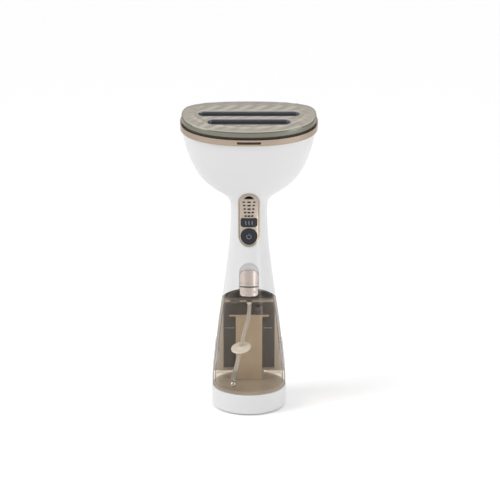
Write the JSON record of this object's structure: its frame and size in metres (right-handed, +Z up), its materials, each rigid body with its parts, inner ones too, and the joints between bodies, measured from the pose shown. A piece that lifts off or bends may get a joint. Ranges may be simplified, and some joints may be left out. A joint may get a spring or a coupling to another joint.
{
  "type": "garment steamer",
  "caption": "Handheld garment steamer with a wide tilted steam plate, a slim round handle with a control bezel, and a smoky slide-out water tank above a round foot.",
  "frame": {"origin": "centre of the round foot's resting face, under the handle's axis", "axes": "+Z up along the handle, -Y the front with the bezel and the tank, +X to the right when seen from the front"},
  "size_m": [0.128, 0.0739, 0.2917],
  "materials": {
    "shell_white": "satin moulded",
    "inner_white": "moulded",
    "champagne_panel": "satin painted",
    "dark_liner": "matt",
    "rubber_grey": "matt",
    "rubber_black": "matt",
    "silicone": "soft, milky",
    "gold_ring": "satin rose gold",
    "champagne_metal": "satin champagne",
    "window_brown": "gloss",
    "plate_coating": "satin ceramic coating",
    "dark_metal": "matt",
    "aluminium_cast": "cast",
    "steel": "bright",
    "brass": "turned",
    "insulator": "matt",
    "button_dark": "satin",
    "board_green": "laminate",
    "part_black": "moulded",
    "led": "clear",
    "tank_smoke": "clear smoky plastic",
    "lid_grey": "moulded",
    "hose_clear": "translucent silicone",
    "copper": "wound"
  },
  "bodies": {
    "housing": {"front_shell": "shell_white", "rear_shell": "shell_white", "spine_panel": "champagne_panel", "spine_liner": "dark_liner", "base_foot": "shell_white", "base_plate": "inner_white", "base_pad": "rubber_grey", "foot_screws": "steel", "case_screws": "steel", "cord_inlet": "rubber_grey", "trim_ring": "gold_ring", "ring_window": "window_brown", "plate_gasket": "rubber_black", "steam_plate": "plate_coating", "steam_diffuser": "dark_metal", "boiler_body": "aluminium_cast", "boiler_seal": "silicone", "boiler_screws": "steel", "heating_element": "steel", "heater_pins": "steel", "boiler_cover": "insulator", "thermostat": "steel", "thermal_fuse": "steel", "boiler_inlet": "brass", "bezel": "champagne_metal", "vent_baffle": "part_black", "control_board": "board_green", "tact_switches": "part_black", "board_parts": "part_black", "status_led": "led", "latch_spring": "steel", "spring_seat": "inner_white", "coupling_socket": "inner_white", "coupling_seal": "rubber_black", "pump_body": "part_black", "pump_coil": "copper", "pump_mounts": "rubber_black", "pump_elbow": "inner_white", "terminal_block": "inner_white", "feed_hose": "silicone", "suction_hose": "silicone"},
    "mode_button": {"mode_button": "button_dark"},
    "power_button": {"power_button": "button_dark"},
    "latch": {"latch_button": "champagne_metal"},
    "tank": {"tank_body": "tank_smoke", "tank_lid": "lid_grey", "outlet_elbow": "lid_grey", "outlet_nipple": "steel", "vent_valve": "steel", "tank_catch": "champagne_metal", "tank_grips": "tank_smoke", "level_marks": "hose_clear", "hose_disc": "silicone", "hose_connector": "insulator", "sinker": "steel", "intake_hose": "hose_clear"},
    "filler": {"filler_plug": "rubber_black"}
  },
  "joints": [
    {"name": "tank_slide", "type": "slide", "parent": "housing", "child": "tank", "axis": [0, -1, 0], "range_m": [0, 0.075]},
    {"name": "latch_slide", "type": "slide", "parent": "housing", "child": "latch", "axis": [0, 0.1236, 0.9923], "range_m": [0, 0.0055], "stiffness_N_per_m": 300, "springref_m": -0.004, "deforming": ["latch_spring"]},
    {"name": "mode_press", "type": "slide", "parent": "housing", "child": "mode_button", "axis": [0, 1, 0], "range_m": [0, 0.001], "stiffness_N_per_m": 800, "springref_m": -0.0008},
    {"name": "power_press", "type": "slide", "parent": "housing", "child": "power_button", "axis": [0, 1, 0], "range_m": [0, 0.001], "stiffness_N_per_m": 800, "springref_m": -0.0008},
    {"name": "filler_lift", "type": "slide", "parent": "tank", "child": "filler", "axis": [0, 0, 1], "range_m": [0, 0.0035]}
  ]
}
